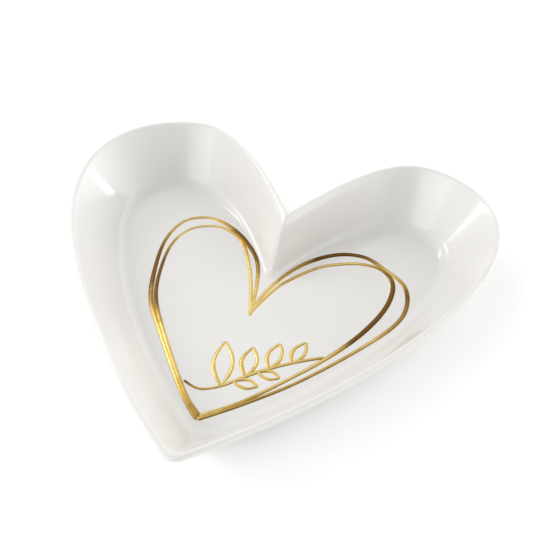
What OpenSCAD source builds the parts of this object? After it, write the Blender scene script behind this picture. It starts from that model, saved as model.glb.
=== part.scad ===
// Heart-shaped trinket dish: white porcelain with a clear-white glaze, an open bowl with
// sloping walls, and a gold pen line that goes round the floor twice.
// Millimetres. The heart's tip points along -Y, its cleft along +Y and the bowl opens along +Z.
// The origin is at the middle of the underside of the bounding box.

/* [Heart] */
// Overall width across the two lobes
heart_w = 120; // [112:1:140]
// Overall length from the tip to the tops of the lobes
heart_l = 117; // [112:1:136]
// How far the cleft lies below the tops of the lobes
cleft_drop = 29; // [24:1:30]
// How far the cleft sits to the right of the tip, as the hand-made mould has it
cleft_off = 2; // [0:0.5:3]
// Corner radius at the tip of the heart
tip_r = 4; // [3:0.5:6]

/* [Bowl] */
// Height of the rim above the floor of the bowl
bowl_depth = 14; // [11:0.5:16]
// Thickness of the wall and the floor, glaze included
wall_t = 2; // [1.8:0.1:3.2]
// Slope of the wall above the horizontal, in degrees
wall_slope = 49; // [46:1:58]
// Radius of the cove where the wall meets the floor
cove_r = 6; // [4:0.5:8]
// Thickness of the glaze on the clay
glaze_t = 0.35; // [0.25:0.05:0.5]

/* [Foot] */
// Height of the foot ring below the base
foot_h = 2.3; // [1.5:0.1:4]
// Width of the foot ring
foot_w = 3.5; // [2.5:0.5:6]
// Inset of the foot ring from the edge of the rim
foot_inset = 19; // [18:0.5:22]

/* [Gold line] */
// Width of the pen line at its widest
pen_w = 1.25; // [0.8:0.05:1.4]
// Thickness of the fired gold
gold_t = 0.12; // [0.1:0.02:0.3]

/* [Hidden] */

eps = 0.001;
floor_z = foot_h + wall_t;
total_h = floor_z + bowl_depth;
sx = heart_w / 120;
sy = heart_l / 117;

// ---------- curves ----------
function mix(a, b, t) = a + (b - a) * t;
function bez(a, b, c, d, t) =
    pow(1 - t, 3) * a + 3 * pow(1 - t, 2) * t * b + 3 * (1 - t) * t * t * c + pow(t, 3) * d;
function polar(r, a) = [r * cos(a), r * sin(a)];
function drop_last(v) = [for (i = [0 : len(v) - 2]) v[i]];
function flip_x(v) = [for (i = [len(v) - 1 : -1 : 0]) [-v[i][0], v[i][1]]];

// ---------- the heart at an inset from the rim's edge ----------
// The lip is mitred at the cleft, so its ridge is sharp; lower down the ridge softens.
function cleft_shift(i) = i < 3 ? 2 * i : 6 + 9 * pow((i - 3) / 13.5, 1.25);
function cleft_x(i) = cleft_off * max(0, 1 - i / 17);
function cleft_r(i) = 0.5 + max(0, i - 3) * 0.12;
function tip_shift(i) = 1.31 * i;
function corner_r(i) = tip_r + 0.12 * i;

// One half of the heart, from the tip to the cleft: corner arc, flank, shoulder, inner curve.
// s is 1 for the right half; the left half is worked out with -1 and then mirrored.
function half_heart(i, s) =
    let (r = corner_r(i), a = 41,
         tip = [0, -heart_l / 2 + tip_shift(i)],
         side = [heart_w / 2 - i, 30.5 * sy],
         top = [33 * sx, heart_l / 2 - i],
         cleft = [s * cleft_x(i), heart_l / 2 - cleft_drop - cleft_shift(i)],
         rc = cleft_r(i), b = 48 + 0.95 * i,
         c = cleft + [0, rc],
         q = c + polar(rc, b - 90),
         p = tip + [0, r] + polar(r, a - 90),
         k1 = norm(side - p) / 104,
         k2 = norm(top - side) / 40,
         k3 = norm(q - top) / 44)
    concat(
        [for (t = [0 : 4]) tip + [0, r] + polar(r, -90 + a * t / 4)],
        [for (t = [1 : 12]) bez(p, p + polar(40 * k1, a), side - [0, 24 * k1], side, t / 12)],
        [for (t = [1 : 10]) bez(side, side + [0, 21 * k2], top + [10 * k2, 0], top, t / 10)],
        [for (t = [1 : 11])
            bez(top, top - [14.5 * k3, 0], q + polar((4 + 0.8 * i) * k3, b), q, t / 11)],
        [for (t = [1 : 3]) c + polar(rc, b - 90 - b * t / 3)]
    );
function heart(i) =
    let (m = flip_x(half_heart(i, -1)))
    concat(half_heart(i, 1), [for (k = [1 : len(m) - 2]) m[k]]);

// ---------- the wall's cross-section as [inset, height] ----------
// A slab of one thickness: straight wall, concentric arcs into the floor, and a round lip.
// skin is how far the surface lies inside the glazed one.
lip_r = wall_t / 2;
lip_z = total_h - lip_r;
cove_i = lip_r + lip_r * sin(wall_slope)
       + (lip_z + lip_r * cos(wall_slope) - floor_z - cove_r * (1 - cos(wall_slope))) / tan(wall_slope)
       + cove_r * sin(wall_slope);
cove_z = floor_z + cove_r;
// The foot ring always stands inside the point where the base turns up
foot_i = max(foot_inset, cove_i + 1);

function arc(c, r, a0, a1, n) = [for (k = [0 : n]) c + polar(r, mix(a0, a1, k / n))];
// Inner side, floor to lip
function inner_side(skin) = concat(
    arc([cove_i, cove_z], cove_r + skin, -90, -90 - wall_slope, 6),
    arc([lip_r, lip_z], lip_r - skin, 90 - wall_slope, 180 - wall_slope, 4));
// Outer side, lip to base
function outer_side(skin) = concat(
    arc([lip_r, lip_z], lip_r - skin, 180 - wall_slope, 270 - wall_slope, 4),
    arc([cove_i, cove_z], cove_r + wall_t - skin, -90 - wall_slope, -90, 5));
function section(skin) = concat(inner_side(skin), [for (k = [1 : 10]) outer_side(skin)[k]]);
function back(v) = [for (i = [len(v) - 1 : -1 : 0]) v[i]];

// ---------- a closed solid through a stack of hearts ----------
module loft(profile) {
    rings = [for (p = profile) heart(p[0])];
    n = len(rings[0]);
    m = len(profile);
    pts = [for (j = [0 : m - 1]) for (q = rings[j]) [q[0], q[1], profile[j][1]]];
    sides = [for (j = [0 : m - 2]) for (k = [0 : n - 1])
        let (a = j * n + k, b = j * n + (k + 1) % n)
        each [[a, b, b + n], [a, b + n, a + n]]];
    polyhedron(pts, concat(
        [[for (k = [n - 1 : -1 : 0]) k]],
        sides,
        [[for (k = [0 : n - 1]) (m - 1) * n + k]]), convexity = 8);
}

// ---------- the pen line ----------
// Smooth path through its points, and a ribbon of varying width along a path
function spline(p, n) = [for (k = [0 : len(p) - 2]) for (t = [0 : n - 1])
    let (a = p[max(k - 1, 0)], b = p[k], c = p[k + 1], d = p[min(k + 2, len(p) - 1)])
    bez(b, b + (c - a) / 6, c - (d - b) / 6, c, t / n)];
function path(p, n) = concat(spline(p, n), [p[len(p) - 1]]);
function side_of(v, k) =
    let (d = v[min(k + 1, len(v) - 1)] - v[max(k - 1, 0)])
    [-d[1], d[0]] / norm(d);
function width_at(w, u) =
    let (s = u * (len(w) - 1), k = min(floor(s), len(w) - 2))
    pen_w * mix(w[k], w[k + 1], s - k);
function ribbon(v, w) =
    let (n = len(v) - 1)
    concat(
        [for (k = [0 : n]) v[k] + side_of(v, k) * width_at(w, k / n) / 2],
        [for (k = [n : -1 : 0]) v[k] - side_of(v, k) * width_at(w, k / n) / 2]);
// The drawing grows and shrinks with the flat of the floor
gx = (heart_w / 2 - cove_i) / 43.6;
gy = min((heart_l / 2 - cove_i) / 42.1, (heart_l / 2 - tip_shift(cove_i)) / 37);
module stroke(v, w) {
    polygon(ribbon([for (q = v) [q[0] * gx, q[1] * gy]], w));
}

// The outer pass of the pen, from the cleft round each lobe to the tip
outer_left = [[-0.6, 0.5], [-1.5, 9], [-4.5, 20], [-10, 27], [-17, 32], [-23.5, 33.5],
    [-29.5, 30.5], [-32.2, 23], [-31.7, 13], [-28.2, -1], [-21.2, -12], [-9, -29], [-2.3, -36.4]];
outer_right = [[-0.6, 0.5], [1, 10], [5, 19], [10, 25.5], [16.5, 30], [23.5, 31], [30, 28],
    [36.5, 23.5], [39, 16], [37, 7.5], [28.2, -5.6], [17.5, -18.6], [7, -28.7], [-2.3, -36.4]];
// The inner pass of the pen
inner_left = [[-0.6, 1.5], [-3.5, 11], [-6.5, 18.5], [-11, 26.5], [-16, 30], [-21.5, 30.5],
    [-27, 27.5], [-29.9, 21], [-29.8, 12], [-27.2, 0.2], [-20.7, -11.3], [-8.4, -28.8], [-2, -35.2]];
inner_right = [[-0.6, 1.5], [2, 9], [5, 15], [12, 23], [18, 26.5], [24, 28.2], [30, 27.2],
    [33.7, 22.5], [33.7, 14], [30, 3.5], [23.5, -7.5], [14.8, -18.7], [5.9, -28.7], [-2, -35.2]];
// The stem of the sprig, from the left flank to the right one
stem = [[-9.6, -25.6], [-5, -27], [0, -24.6], [5, -19.8], [11, -14.8], [17, -10.8], [22.6, -7.8]];
// The leaves of the sprig: foot, length, width and direction of each
leaves = [[[0, -24.6], 15, 5, 104], [[5, -19.8], 10, 4, 96], [[10, -15.6], 9, 3.6, 88],
    [[15, -12], 8, 3.2, 78], [[2.6, -22.2], 6.5, 2.8, 2], [[7.6, -17.5], 6, 2.6, -2]];

// One side of a leaf, a bow from its foot to its point
function leaf(l, s) = [for (k = [0 : 10])
    let (x = l[1] * k / 10, y = s * l[2] / 2 * sin(18 * k))
    l[0] + [x * cos(l[3]) - y * sin(l[3]), x * sin(l[3]) + y * cos(l[3])]];

module outer_pass() {
    stroke(path(outer_left, 5), [0.8, 0.9, 1.2, 0.8, 0.8, 1.1, 1.1, 1.1, 1]);
    stroke(path(outer_right, 5), [0.8, 1, 1.2, 1.1, 1, 1, 0.9, 0.8, 0.9, 1.1]);
}
module inner_pass() {
    stroke(path(inner_left, 5), [0.8, 0.8, 0.9, 0.7, 0.7, 0.9, 1, 1, 1]);
    stroke(path(inner_right, 5), [0.8, 0.9, 0.9, 0.9, 1.1, 1.2, 1.1, 0.9, 0.9, 1.1]);
}
module flourish() {
    stroke(path(stem, 6), [0.6, 0.7, 0.9, 1, 0.9, 0.8]);
    for (l = leaves) {
        stroke(leaf(l, 1), [0.6, 0.9, 1, 0.8, 0.6]);
        stroke(leaf(l, -1), [0.6, 0.9, 0.9, 0.7, 0.6]);
    }
}

// ---------- the pieces ----------
// The fired clay: the whole bowl, without its glaze
module porcelain_body() {
    color("whitesmoke") loft(section(glaze_t));
}

// The unglazed ring that the dish stands on
module foot_ring() {
    color("linen") linear_extrude(foot_h + glaze_t) difference() {
        polygon(heart(foot_i));
        polygon(heart(foot_i + foot_w));
    }
}

// The glaze: one glossy skin over the bowl, the lip and the outside, down to the foot ring
module glaze_coat() {
    z = foot_h;
    color("white") loft(concat(
        section(0), [[foot_i, z], [foot_i, z + glaze_t]], back(section(glaze_t))));
}

// The pen line's outer pass, with a gap where the inner pass runs over it
module gold_outer_loop() {
    color("goldenrod") translate([0, 0, floor_z]) linear_extrude(gold_t) difference() {
        outer_pass();
        inner_pass();
    }
}

module gold_inner_loop() {
    color("goldenrod") translate([0, 0, floor_z]) linear_extrude(gold_t) inner_pass();
}

// A leafy sprig, drawn with the same pen between the two flanks
module gold_flourish() {
    color("goldenrod") translate([0, 0, floor_z]) linear_extrude(gold_t) difference() {
        flourish();
        inner_pass();
        outer_pass();
    }
}

porcelain_body();
foot_ring();
glaze_coat();
gold_outer_loop();
gold_inner_loop();
gold_flourish();
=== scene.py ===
import math
import bpy
import numpy as np
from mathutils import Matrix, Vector


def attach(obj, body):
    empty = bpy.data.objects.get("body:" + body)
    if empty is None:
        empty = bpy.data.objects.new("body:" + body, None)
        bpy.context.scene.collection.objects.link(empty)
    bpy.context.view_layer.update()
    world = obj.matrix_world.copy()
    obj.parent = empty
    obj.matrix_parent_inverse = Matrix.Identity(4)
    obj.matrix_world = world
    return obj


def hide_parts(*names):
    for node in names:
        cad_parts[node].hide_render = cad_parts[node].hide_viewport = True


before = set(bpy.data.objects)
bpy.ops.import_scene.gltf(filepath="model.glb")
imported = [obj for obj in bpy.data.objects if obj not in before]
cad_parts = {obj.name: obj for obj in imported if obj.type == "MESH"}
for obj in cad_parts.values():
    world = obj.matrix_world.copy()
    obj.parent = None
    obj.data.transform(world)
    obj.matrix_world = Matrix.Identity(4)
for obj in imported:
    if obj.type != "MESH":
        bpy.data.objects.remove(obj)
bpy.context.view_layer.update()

# ---------------------------------------------------------------------------
# THE VIEW. Where the dish is seen from: above the table, in front of the
# dish's tip and a little to its right, through a short telephoto lens.
# ---------------------------------------------------------------------------
view_azimuth = math.radians(17.2)
view_elevation = math.radians(45.8)
view_distance = 0.3137
view_target = Vector((0.0053, 0.00485, 0.0174))
view_forward = Vector((-math.sin(view_azimuth) * math.cos(view_elevation),
                       math.cos(view_azimuth) * math.cos(view_elevation),
                       -math.sin(view_elevation)))
lens = bpy.data.cameras.new("view")
lens.sensor_width = 36.0
lens.lens = 78.55
lens.clip_start = 0.01
view = bpy.data.objects.new("view", lens)
view.location = view_target - view_forward * view_distance
view.rotation_euler = view_forward.to_track_quat("-Z", "Y").to_euler()
bpy.context.scene.collection.objects.link(view)
bpy.context.scene.camera = view
bpy.context.scene.view_settings.view_transform = "Standard"

# ---------------------------------------------------------------------------
# THE TABLE AND ITS LIGHT. A white table that glows a little, as a product
# table does, in a white tent lit by large soft boxes. Its paper shows only
# from above, so that the foot of the dish can be seen from below.
# ---------------------------------------------------------------------------
table_half = 1.5
table_drop = 0.00003
table_mesh = bpy.data.meshes.new("table")
table_mesh.from_pydata([(-table_half, -table_half, -table_drop),
                        (table_half, -table_half, -table_drop),
                        (table_half, table_half, -table_drop),
                        (-table_half, table_half, -table_drop)],
                       [], [(0, 1, 2, 3)])
table = bpy.data.objects.new("table", table_mesh)
bpy.context.scene.collection.objects.link(table)


def new_material(name):
    """An empty node material with one output: returns the material, its nodes and its links."""
    material = bpy.data.materials.new(name)
    material.use_nodes = True
    nodes, links = material.node_tree.nodes, material.node_tree.links
    nodes.clear()
    return material, nodes, links


table_white, nodes, links = new_material("table_white")
paper = nodes.new("ShaderNodeBsdfDiffuse")
paper.inputs["Color"].default_value = (0.95, 0.95, 0.95, 1)
glow = nodes.new("ShaderNodeEmission")
glow.inputs["Color"].default_value = (1, 1, 1, 1)
glow.inputs["Strength"].default_value = 0.08
both = nodes.new("ShaderNodeAddShader")
side = nodes.new("ShaderNodeNewGeometry")
clear = nodes.new("ShaderNodeBsdfTransparent")
one_sided = nodes.new("ShaderNodeMixShader")
out = nodes.new("ShaderNodeOutputMaterial")
links.new(paper.outputs[0], both.inputs[0])
links.new(glow.outputs[0], both.inputs[1])
links.new(side.outputs["Backfacing"], one_sided.inputs["Fac"])
links.new(both.outputs[0], one_sided.inputs[1])
links.new(clear.outputs[0], one_sided.inputs[2])
links.new(one_sided.outputs[0], out.inputs["Surface"])
table_mesh.materials.append(table_white)

tent = bpy.data.worlds.new("tent")
tent.use_nodes = True
nodes, links = tent.node_tree.nodes, tent.node_tree.links
nodes.clear()
look = nodes.new("ShaderNodeTexCoord")


def heading(bearing, elevation):
    """The unit vector towards a bearing, clockwise from the cleft, and an elevation."""
    bearing, elevation = math.radians(bearing), math.radians(elevation)
    return Vector((math.sin(bearing) * math.cos(elevation),
                   math.cos(bearing) * math.cos(elevation), math.sin(elevation)))


def tent_side(before, bearing, elevation, tightness, strength):
    """Adds one soft bright side to the tent's brightness so far: strength times
    e to the power of tightness * (cosine of the angle from the side's middle - 1)."""
    cosine = nodes.new("ShaderNodeVectorMath")
    cosine.operation = "DOT_PRODUCT"
    cosine.inputs[1].default_value = heading(bearing, elevation)
    links.new(look.outputs["Generated"], cosine.inputs[0])
    power = nodes.new("ShaderNodeMath")
    power.operation = "MULTIPLY_ADD"
    power.inputs[1].default_value = tightness
    power.inputs[2].default_value = -tightness
    links.new(cosine.outputs["Value"], power.inputs[0])
    rise = nodes.new("ShaderNodeMath")
    rise.operation = "EXPONENT"
    links.new(power.outputs[0], rise.inputs[0])
    total = nodes.new("ShaderNodeMath")
    total.operation = "MULTIPLY_ADD"
    total.inputs[1].default_value = strength
    links.new(rise.outputs[0], total.inputs[0])
    links.new(before, total.inputs[2])
    return total.outputs[0]


dim_cloth = nodes.new("ShaderNodeValue")
dim_cloth.outputs[0].default_value = 0.1
bright = dim_cloth.outputs[0]
# The tent's bright sides: bearing, elevation, tightness and strength.
for bright_side in ((62, 10, 7, 3.9), (5, 12, 6, 1.8), (108, 20, 7, 1.5),
                    (215, 10, 7, 2.4), (253, 50, 6, 1.5), (308, 14, 6, 1)):
    bright = tent_side(bright, *bright_side)
cloth = nodes.new("ShaderNodeBackground")
links.new(bright, cloth.inputs["Strength"])
out = nodes.new("ShaderNodeOutputWorld")
links.new(cloth.outputs[0], out.inputs["Surface"])
bpy.context.scene.world = tent

lamp_distance = 1.2


def soft_box(name, bearing, elevation, width, height, power):
    """A rectangular lamp that faces the dish from a bearing and an elevation."""
    lamp = bpy.data.lights.new(name, "AREA")
    lamp.shape = "RECTANGLE"
    lamp.size, lamp.size_y = width, height
    lamp.energy = power
    box = bpy.data.objects.new(name, lamp)
    box.location = heading(bearing, elevation) * lamp_distance
    box.rotation_euler = (-heading(bearing, elevation)).to_track_quat("-Z", "Y").to_euler()
    bpy.context.scene.collection.objects.link(box)


soft_box("window", 209, 36, 0.76, 0.5, 2)
soft_box("far_card", 343, 46, 0.5, 0.4, 0.3)
soft_box("far_lamp", 40, 10, 0.12, 0.24, 0.8)
soft_box("left_lamp", 281, 26, 0.5, 0.3, 2.4)
soft_box("cove_lamp", 312, 49, 0.5, 0.06, 1)

# ---------------------------------------------------------------------------
# THE CLAY BODY. The bowl is pressed from one sheet of porcelain clay in a
# heart-shaped mould: a wall of one thickness that bends into a flat floor,
# with a round lip. Fired clay shows only inside the foot ring.
# ---------------------------------------------------------------------------
heart_width = 0.120
heart_length = 0.117
wall_thickness = 0.0020
wall_slope = math.radians(49)
cove_radius = 0.006
tip_radius = 0.004
cleft_drop = 0.029
cleft_offset = 0.002
shoulder_y = 0.0305
lobe_top_x = 0.033
foot_height = 0.0023
glaze_thickness = 0.00035
floor_height = foot_height + wall_thickness
rim_height = 0.0183
mm = 0.001


def bezier(a, b, c, d, t):
    """Cubic curve from a to d with handles b and c, at the parameters t."""
    return ((1 - t) ** 3 * a + 3 * (1 - t) ** 2 * t * b
            + 3 * (1 - t) * t ** 2 * c + t ** 3 * d)


def half_heart(inset, side):
    """One half of the heart at each inset from the rim's edge, tip to cleft.

    A corner arc at the tip, a flank, a shoulder and an inner curve as three
    cubic curves whose handles shrink with the distance between their ends,
    and a fillet at the cleft. The tip moves in faster than the flanks, and
    the cleft moves in twice as fast through the lip, as a mitre does.
    Returns an array of rings by points by (x, y), in millimetres.
    """
    i = np.asarray(inset, float).reshape(-1, 1) / mm
    width, length = heart_width / mm, heart_length / mm
    one = np.ones_like(i)
    deep = np.clip((i - 3) / 13.5, 0, None)
    shift = np.where(i < 3, 2 * i, 6 + 9 * deep ** 1.25)
    corner = tip_radius / mm + 0.12 * i
    fillet = 0.5 + 0.12 * np.clip(i - 3, 0, None)
    flank_angle = math.radians(41)
    cleft_angle = np.radians(48 + 0.95 * i)

    def xy(x, y):
        return np.stack([x * one, y * one], -1)

    tip_centre = xy(0, -length / 2 + 1.31 * i + corner)
    shoulder = xy(width / 2 - i, shoulder_y / mm)
    top = xy(lobe_top_x / mm, length / 2 - i)
    cleft_centre = xy(side * cleft_offset / mm * np.clip(1 - i / 17, 0, None),
                      length / 2 - cleft_drop / mm - shift + fillet)
    flank = tip_centre + xy(corner * math.sin(flank_angle), -corner * math.cos(flank_angle))
    inner = cleft_centre + xy(fillet * np.sin(cleft_angle), -fillet * np.cos(cleft_angle))

    def span(a, b, usual):
        return np.linalg.norm(b - a, axis=-1, keepdims=True) / usual

    k1, k2, k3 = span(flank, shoulder, 104), span(shoulder, top, 40), span(top, inner, 44)

    def steps(n):
        return np.arange(1, n + 1)[None, :, None] / n

    turn = np.linspace(0, 1, 17)[None, :]
    tip_arc = tip_centre + corner[..., None] * np.stack(
        [np.sin(turn * flank_angle) * one, -np.cos(turn * flank_angle) * one], -1)
    flank_out = xy(math.cos(flank_angle), math.sin(flank_angle))
    inner_out = xy(np.cos(cleft_angle), np.sin(cleft_angle))
    up, right = xy(0, 1), xy(1, 0)
    parts = [
        tip_arc,
        bezier(flank, flank + 40 * k1 * flank_out, shoulder - 24 * k1 * up, shoulder, steps(56)),
        bezier(shoulder, shoulder + 21 * k2 * up, top + 10 * k2 * right, top, steps(44)),
        bezier(top, top - 14.5 * k3 * right,
               inner + (4 + 0.8 * i[..., None]) * k3 * inner_out, inner, steps(56)),
    ]
    turn = 1 - np.arange(1, 11)[None, :] / 10
    parts.append(cleft_centre + fillet[..., None] * np.stack(
        [np.sin(turn * cleft_angle), -np.cos(turn * cleft_angle)], -1))
    return np.concatenate(parts, axis=1)


def hearts(inset):
    """Whole hearts at each inset, in metres: the right half, then the left half mirrored back."""
    right, left = half_heart(inset, 1), half_heart(inset, -1)
    left = left[:, ::-1] * np.array([-1.0, 1.0])
    return np.concatenate([right, left[:, 1:-1]], axis=1) * mm


def arc(centre, radius, start, end, n):
    """n + 1 points on an arc in the wall's cross-section, as (inset, height)."""
    a = np.radians(np.linspace(start, end, n + 1))
    return np.stack([centre[0] + radius * np.cos(a), centre[1] + radius * np.sin(a)], -1)


lip_radius = wall_thickness / 2
lip_centre = (lip_radius, rim_height - lip_radius)
slope_degrees = math.degrees(wall_slope)
cove_inset = (lip_radius + lip_radius * math.sin(wall_slope)
              + (lip_centre[1] + lip_radius * math.cos(wall_slope) - floor_height
                 - cove_radius * (1 - math.cos(wall_slope))) / math.tan(wall_slope)
              + cove_radius * math.sin(wall_slope))
cove_centre = (cove_inset, floor_height + cove_radius)


def straight(a, b, n):
    """n - 1 points between a and b, without the ends."""
    return a + (b - a) * (np.arange(1, n) / n)[:, None]


def wall_section(skin):
    """The wall's cross-section from floor to base, skin inside the glazed surface.

    A cove arc, a straight slope, a half-round lip, the slope again and the
    outer arc, which shares the cove's centre.
    """
    cove = arc(cove_centre, cove_radius + skin, -90, -90 - slope_degrees, 18)
    lip = arc(lip_centre, lip_radius - skin, 90 - slope_degrees, 270 - slope_degrees, 26)
    under = arc(cove_centre, cove_radius + wall_thickness - skin, -90 - slope_degrees, -90, 14)
    return np.concatenate([cove, straight(cove[-1], lip[0], 12), lip,
                           straight(lip[-1], under[0], 10), under])


def heart_rings(section):
    """Carries a cross-section of (inset, height) round the heart."""
    rings = hearts(section[:, 0])
    heights = np.broadcast_to(section[:, 1][:, None, None], rings.shape[:2] + (1,))
    return np.concatenate([rings, heights], axis=-1)


def disc_rings(ring, middle, n):
    """Shrinks a flat ring towards a middle point in n steps, middle first."""
    scale = (np.arange(1, n) / n)[:, None, None]
    return middle + (ring - middle) * scale


def closed_mesh(name, grid, first, last):
    """A closed mesh through a stack of rings, with a point at each end."""
    m, n = grid.shape[:2]
    points = np.concatenate([grid.reshape(-1, 3), [first], [last]])
    a = np.arange(n)
    b = (a + 1) % n
    rows = np.arange(m - 1)[:, None] * n
    quads = np.stack([rows + a, rows + b, rows + n + b, rows + n + a], -1).reshape(-1, 4)
    fan_first = np.stack([b, a, np.full(n, m * n)], -1)
    top_row = (m - 1) * n
    fan_last = np.stack([top_row + a, top_row + b, np.full(n, m * n + 1)], -1)
    mesh = bpy.data.meshes.new(name)
    mesh.from_pydata(points.tolist(), [], quads.tolist() + fan_first.tolist() + fan_last.tolist())
    mesh.polygons.foreach_set("use_smooth", np.ones(len(mesh.polygons), bool))
    mesh.update()
    return mesh


def add_piece(name, mesh, material, node):
    """Puts a finished mesh into the scene in place of a CAD node."""
    piece = bpy.data.objects.new(name, mesh)
    bpy.context.scene.collection.objects.link(piece)
    mesh.materials.append(material)
    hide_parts(node)
    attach(piece, "root")
    return piece


bisque, nodes, links = new_material("bisque_clay")
place = nodes.new("ShaderNodeTexCoord")
grit = nodes.new("ShaderNodeTexNoise")
grit.inputs["Scale"].default_value = 900
grit.inputs["Detail"].default_value = 6
tone = nodes.new("ShaderNodeValToRGB")
tone.color_ramp.elements[0].position = 0.35
tone.color_ramp.elements[0].color = (0.74, 0.715, 0.67, 1)
tone.color_ramp.elements[1].position = 0.7
tone.color_ramp.elements[1].color = (0.82, 0.80, 0.76, 1)
clay = nodes.new("ShaderNodeBsdfPrincipled")
clay.inputs["Roughness"].default_value = 0.85
clay.inputs["Specular IOR Level"].default_value = 0.25
rough = nodes.new("ShaderNodeBump")
rough.inputs["Strength"].default_value = 0.25
rough.inputs["Distance"].default_value = 0.0001
out = nodes.new("ShaderNodeOutputMaterial")
links.new(place.outputs["Object"], grit.inputs["Vector"])
links.new(grit.outputs["Fac"], tone.inputs["Fac"])
links.new(tone.outputs["Color"], clay.inputs["Base Color"])
links.new(grit.outputs["Fac"], rough.inputs["Height"])
links.new(rough.outputs["Normal"], clay.inputs["Normal"])
links.new(clay.outputs[0], out.inputs["Surface"])

clay_rings = heart_rings(wall_section(glaze_thickness))
floor_middle = np.array([0, -0.004, 0])
clay_top = floor_middle + [0, 0, floor_height - glaze_thickness]
clay_base = floor_middle + [0, 0, foot_height + glaze_thickness]
clay_rings = np.concatenate([disc_rings(clay_rings[0], clay_top, 4), clay_rings,
                             disc_rings(clay_rings[-1], clay_base, 4)[::-1]])
add_piece("clay_body", closed_mesh("clay_body", clay_rings, clay_top, clay_base),
          bisque, "porcelain_body")

# ---------------------------------------------------------------------------
# THE FOOT RING. A low ring of the same clay under the base, wiped clean of
# glaze and ground flat, so that the dish doesn't stick to the kiln shelf.
# ---------------------------------------------------------------------------
foot_inset = 0.019
foot_width = 0.0035
foot_edge = 0.0004
foot_top = foot_height + glaze_thickness
foot_outer, foot_inner = foot_inset, foot_inset + foot_width
foot_section = np.concatenate([
    [[foot_inner, foot_top], [foot_outer, foot_top]],
    arc((foot_outer + foot_edge, foot_edge), foot_edge, 180, 270, 6),
    arc((foot_inner - foot_edge, foot_edge), foot_edge, 270, 360, 6),
    [[foot_inner, foot_top]]])


def ring_mesh(name, section):
    """A closed band: a closed cross-section carried round the heart."""
    grid = heart_rings(section[:-1])
    m, n = grid.shape[:2]
    a, b = np.arange(n), (np.arange(n) + 1) % n
    row = np.arange(m)[:, None]
    low, high = row * n, ((row + 1) % m) * n
    quads = np.stack([low + a, low + b, high + b, high + a], -1).reshape(-1, 4)
    mesh = bpy.data.meshes.new(name)
    mesh.from_pydata(grid.reshape(-1, 3).tolist(), [], quads.tolist())
    mesh.polygons.foreach_set("use_smooth", np.ones(len(mesh.polygons), bool))
    mesh.update()
    return mesh


add_piece("foot_ring", ring_mesh("foot_ring", foot_section), bisque, "foot_ring")

# ---------------------------------------------------------------------------
# THE GLAZE. A glassy white coat over the bowl, the lip and the outside, down
# to the foot ring.
# ---------------------------------------------------------------------------
glaze, nodes, links = new_material("white_glaze")
place = nodes.new("ShaderNodeTexCoord")
cloud = nodes.new("ShaderNodeTexNoise")
cloud.inputs["Scale"].default_value = 28
cloud.inputs["Detail"].default_value = 3
whites = nodes.new("ShaderNodeValToRGB")
whites.color_ramp.elements[0].position = 0.3
whites.color_ramp.elements[0].color = (0.70, 0.686, 0.662, 1)
whites.color_ramp.elements[1].position = 0.7
whites.color_ramp.elements[1].color = (0.72, 0.706, 0.68, 1)
peel = nodes.new("ShaderNodeTexNoise")
peel.inputs["Scale"].default_value = 160
peel.inputs["Detail"].default_value = 2
ripple = nodes.new("ShaderNodeBump")
ripple.inputs["Strength"].default_value = 0.12
ripple.inputs["Distance"].default_value = 0.0002
glass = nodes.new("ShaderNodeBsdfPrincipled")
glass.inputs["Roughness"].default_value = 0.35
glass.inputs["Coat Weight"].default_value = 0.6
glass.inputs["Coat Roughness"].default_value = 0.07
glass.inputs["IOR"].default_value = 1.5
out = nodes.new("ShaderNodeOutputMaterial")
links.new(place.outputs["Object"], cloud.inputs["Vector"])
links.new(place.outputs["Object"], peel.inputs["Vector"])
links.new(cloud.outputs["Fac"], whites.inputs["Fac"])
links.new(whites.outputs["Color"], glass.inputs["Base Color"])
links.new(peel.outputs["Fac"], ripple.inputs["Height"])
links.new(ripple.outputs["Normal"], glass.inputs["Normal"])
links.new(glass.outputs[0], out.inputs["Surface"])

glaze_out = wall_section(0)
glaze_in = wall_section(glaze_thickness)[::-1]
glaze_edge = np.array([[foot_inset - 0.0006, foot_height], [foot_inset - 0.0001, foot_height],
                       [foot_inset, foot_height + 0.0001], [foot_inset, foot_top]])
glaze_rings = heart_rings(np.concatenate([glaze_out, glaze_edge, glaze_in]))
glaze_top = floor_middle + [0, 0, floor_height]
glaze_under = floor_middle + [0, 0, floor_height - glaze_thickness]
glaze_rings = np.concatenate([disc_rings(glaze_rings[0], glaze_top, 10), glaze_rings,
                              disc_rings(glaze_rings[-1], glaze_under, 4)[::-1]])
add_piece("glaze", closed_mesh("glaze", glaze_rings, glaze_top, glaze_under),
          glaze, "glaze_coat")

# ---------------------------------------------------------------------------
# THE GOLD PEN LINE, OUTER PASS. Liquid gold drawn with a pen on the fired
# glaze and fired again: a thin, slightly domed line whose width follows the
# hand.
# ---------------------------------------------------------------------------
pen_width = 0.00125
gold_thickness = 0.00012
gold_sunk = 0.00002


def smooth_path(points, n):
    """A smooth curve through the points: on each stretch a cubic whose handles
    are a sixth of the chord between the neighbouring points."""
    p = np.asarray(points, float) * mm
    before, after = np.vstack([p[:1], p[:-2]]), np.vstack([p[2:], p[-1:]])
    start, end = p[:-1], p[1:]
    t = (np.arange(n) / n)[None, :, None]
    a, b, c, d = (v[:, None, :] for v in (
        start, start + (end - before) / 6, end - (after - start) / 6, end))
    return np.vstack([bezier(a, b, c, d, t).reshape(-1, 2), p[-1:]])


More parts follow.
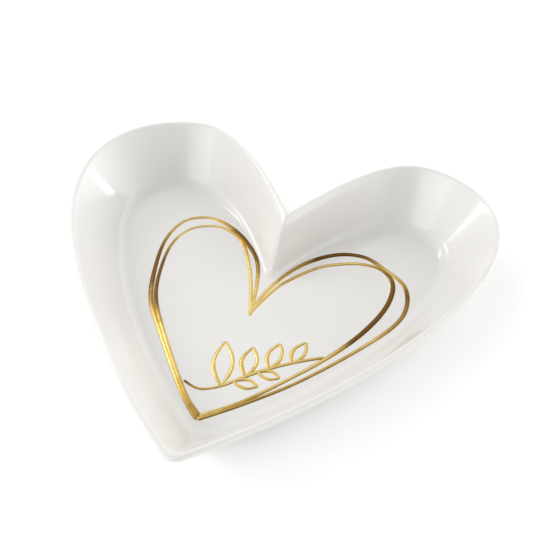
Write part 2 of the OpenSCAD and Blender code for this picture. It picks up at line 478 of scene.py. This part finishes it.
def pen_stroke(path, widths, painted_shades):
    """A domed ribbon along a path: a half-ellipse section whose width follows
    `widths` from end to end, with round ends and a flat base. Returns points,
    sides, the two end faces and the painted shade at each point, how far the
    gold is darkened and browned there, which follows the third argument in the
    same way."""
    step = np.gradient(path, axis=0)
    length = np.concatenate([[0], np.cumsum(np.linalg.norm(np.diff(path, axis=0), axis=1))])
    across = np.stack([-step[:, 1], step[:, 0]], -1)
    across /= np.linalg.norm(across, axis=1, keepdims=True)
    share = length / length[-1]
    width = pen_width * np.interp(share, np.linspace(0, 1, len(widths)), widths)
    to_end = np.clip(np.minimum(length, length[-1] - length) / (width / 2), 0.02, 1)
    width = width * np.sqrt(to_end * (2 - to_end))
    s = np.linspace(-1, 1, 9)
    dome = np.concatenate([gold_thickness * (1 - s ** 2) ** 0.5, [-gold_sunk, -gold_sunk]])
    s = np.concatenate([s, [1, -1]])
    xy = path[:, None, :] + across[:, None, :] * (s[None, :, None] * width[:, None, None] / 2)
    z = floor_height + np.broadcast_to(dome, xy.shape[:2])
    points = np.concatenate([xy, z[..., None]], -1)
    m, n = points.shape[:2]
    a, b = np.arange(n), (np.arange(n) + 1) % n
    rows = np.arange(m - 1)[:, None] * n
    sides = np.stack([rows + a, rows + n + a, rows + n + b, rows + b], -1).reshape(-1, 4)
    ends = np.stack([a, m * n - 1 - a])
    painted_shade = np.interp(share, np.linspace(0, 1, len(painted_shades)), painted_shades)
    return points.reshape(-1, 3), sides, ends, np.repeat(painted_shade, n)


def gold_mesh(name, strokes):
    """Joins several pen strokes into one mesh and stores their painted shade: how far the gold is
    darkened and browned at each point.
    """
    points, faces, painted_shades, before = [], [], [], 0
    for stroke in strokes:
        stroke_points, sides, ends, painted_shade = pen_stroke(*stroke)
        points.append(stroke_points)
        faces += (sides + before).tolist() + (ends + before).tolist()
        painted_shades.append(painted_shade)
        before += len(stroke_points)
    mesh = bpy.data.meshes.new(name)
    mesh.from_pydata(np.concatenate(points).tolist(), [], faces)
    # Painted shade: a point attribute saying how far each stretch of gold is darkened and
    # browned.
    mesh.attributes.new("painted_shade", "FLOAT", "POINT").data.foreach_set(
        "value", np.concatenate(painted_shades))
    mesh.polygons.foreach_set("use_smooth", np.ones(len(mesh.polygons), bool))
    mesh.update()
    return mesh


gold, nodes, links = new_material("fired_gold")
place = nodes.new("ShaderNodeTexCoord")
flow = nodes.new("ShaderNodeTexNoise")
flow.inputs["Scale"].default_value = 220
flow.inputs["Detail"].default_value = 3
# Reads the painted shade that the strokes carry.
painted_shade_input = nodes.new("ShaderNodeAttribute")
painted_shade_input.attribute_name = "painted_shade"
flow_and_painted_shade = nodes.new("ShaderNodeMath")
flow_and_painted_shade.operation = "MULTIPLY_ADD"
flow_and_painted_shade.inputs[1].default_value = 0.5
# Gold tone: random flow noise, plus the painted shade that darkens the gold towards dark umber at
# the listed stretches.
tones = nodes.new("ShaderNodeValToRGB")
tones.color_ramp.elements[0].position = 0.22
tones.color_ramp.elements[0].color = (0.68, 0.51, 0.185, 1)
tones.color_ramp.elements[1].position = 0.96
tones.color_ramp.elements[1].color = (0.16, 0.08, 0.018, 1)
middle = tones.color_ramp.elements.new(0.55)
middle.color = (0.5, 0.33, 0.09, 1)
metal = nodes.new("ShaderNodeBsdfPrincipled")
metal.inputs["Metallic"].default_value = 1.0
metal.inputs["Roughness"].default_value = 0.24
out = nodes.new("ShaderNodeOutputMaterial")
links.new(place.outputs["Object"], flow.inputs["Vector"])
links.new(flow.outputs["Fac"], flow_and_painted_shade.inputs[0])
links.new(painted_shade_input.outputs["Fac"], flow_and_painted_shade.inputs[2])
links.new(flow_and_painted_shade.outputs[0], tones.inputs["Fac"])
links.new(tones.outputs["Color"], metal.inputs["Base Color"])
links.new(metal.outputs[0], out.inputs["Surface"])

outer_left = [[-0.6, 0.5], [-1.5, 9], [-4.5, 20], [-10, 27], [-17, 32], [-23.5, 33.5],
              [-29.5, 30.5], [-32.2, 23], [-31.7, 13], [-28.2, -1], [-21.2, -12],
              [-9, -29], [-2.3, -36.4]]
outer_right = [[-0.6, 0.5], [1, 10], [5, 19], [10, 25.5], [16.5, 30], [23.5, 31], [30, 28],
               [36.5, 23.5], [39, 16], [37, 7.5], [28.2, -5.6], [17.5, -18.6],
               [7, -28.7], [-2.3, -36.4]]
# The third list of each stroke is painted shade: where along it the gold is darkened and browned.
add_piece("gold_outer_loop", gold_mesh("gold_outer_loop", [
    (smooth_path(outer_left, 16), [0.8, 0.9, 1.2, 0.8, 0.8, 1.1, 1.1, 1.1, 1],
     [0, 0.1, 0.7, 0.9, 0.1, 0.2, 0.7, 0.9, 0.5, 0.2, 0.1, 0.3, 0.5]),
    (smooth_path(outer_right, 16), [0.8, 1, 1.2, 1.1, 1, 1, 0.9, 0.8, 0.9, 1.1],
     [0, 0, 0.2, 0.8, 0.8, 0.1, 0.7, 0.5, 0.1, 0.3, 0.3, 0.4, 0.4, 0.3])]),
    gold, "gold_outer_loop")

# ---------------------------------------------------------------------------
# THE GOLD PEN LINE, INNER PASS. The second time round, the pen runs inside
# the first line and crosses it at the right lobe.
# ---------------------------------------------------------------------------
inner_left = [[-0.6, 1.5], [-3.5, 11], [-6.5, 18.5], [-11, 26.5], [-16, 30], [-21.5, 30.5],
              [-27, 27.5], [-29.9, 21], [-29.8, 12], [-27.2, 0.2], [-20.7, -11.3],
              [-8.4, -28.8], [-2, -35.2]]
inner_right = [[-0.6, 1.5], [2, 9], [5, 15], [12, 23], [18, 26.5], [24, 28.2], [30, 27.2],
               [33.7, 22.5], [33.7, 14], [30, 3.5], [23.5, -7.5], [14.8, -18.7],
               [5.9, -28.7], [-2, -35.2]]
# The third list of each stroke is painted shade: where along it the gold is darkened and browned.
add_piece("gold_inner_loop", gold_mesh("gold_inner_loop", [
    (smooth_path(inner_left, 16), [0.8, 0.8, 0.9, 0.7, 0.7, 0.9, 1, 1, 1],
     [0, 0, 0.1, 0.5, 0, 0.1, 0.7, 0.9, 0.6, 0.1, 0.1, 0.3, 0.5]),
    (smooth_path(inner_right, 16), [0.8, 0.9, 0.9, 0.9, 1.1, 1.2, 1.1, 0.9, 0.9, 1.1],
     [0, 0, 0, 0, 0, 0.7, 0.8, 0.9, 0.7, 0, 0, 0.1, 0.3, 0.1])]),
    gold, "gold_inner_loop")

# ---------------------------------------------------------------------------
# THE SPRIG. The same pen draws a leafy stem between the two flanks, each leaf
# as two bows from its foot to its point.
# ---------------------------------------------------------------------------
stem = [[-9.6, -25.6], [-5, -27], [0, -24.6], [5, -19.8], [11, -14.8], [17, -10.8],
        [22.6, -7.8]]
leaves = [([0, -24.6], 15, 5, 104), ([5, -19.8], 10, 4, 96), ([10, -15.6], 9, 3.6, 88),
          ([15, -12], 8, 3.2, 78), ([2.6, -22.2], 6.5, 2.8, 2), ([7.6, -17.5], 6, 2.6, -2)]


def leaf_bow(foot, length, width, direction, side):
    """One edge of a leaf: a sine bow from its foot to its point."""
    t = np.linspace(0, 1, 33)
    x, y = length * t, side * width / 2 * np.sin(math.pi * t)
    c, s = math.cos(math.radians(direction)), math.sin(math.radians(direction))
    return (np.array(foot) + np.stack([x * c - y * s, x * s + y * c], -1)) * mm


# The third list of each stroke is painted shade: where along it the gold is darkened and browned.
sprig = [(smooth_path(stem, 16), [0.6, 0.7, 0.9, 1, 0.9, 0.8], [0.7, 0.2, 0, 0, 0, 0.2])]
for foot, length, width, direction in leaves:
    sprig.append((leaf_bow(foot, length, width, direction, 1),
                  [0.6, 0.9, 1, 0.8, 0.6], [0.3, 0, 0]))
    sprig.append((leaf_bow(foot, length, width, direction, -1),
                  [0.6, 0.9, 0.9, 0.7, 0.6], [0, 0, 0.2]))
add_piece("gold_sprig", gold_mesh("gold_sprig", sprig), gold, "gold_flourish")
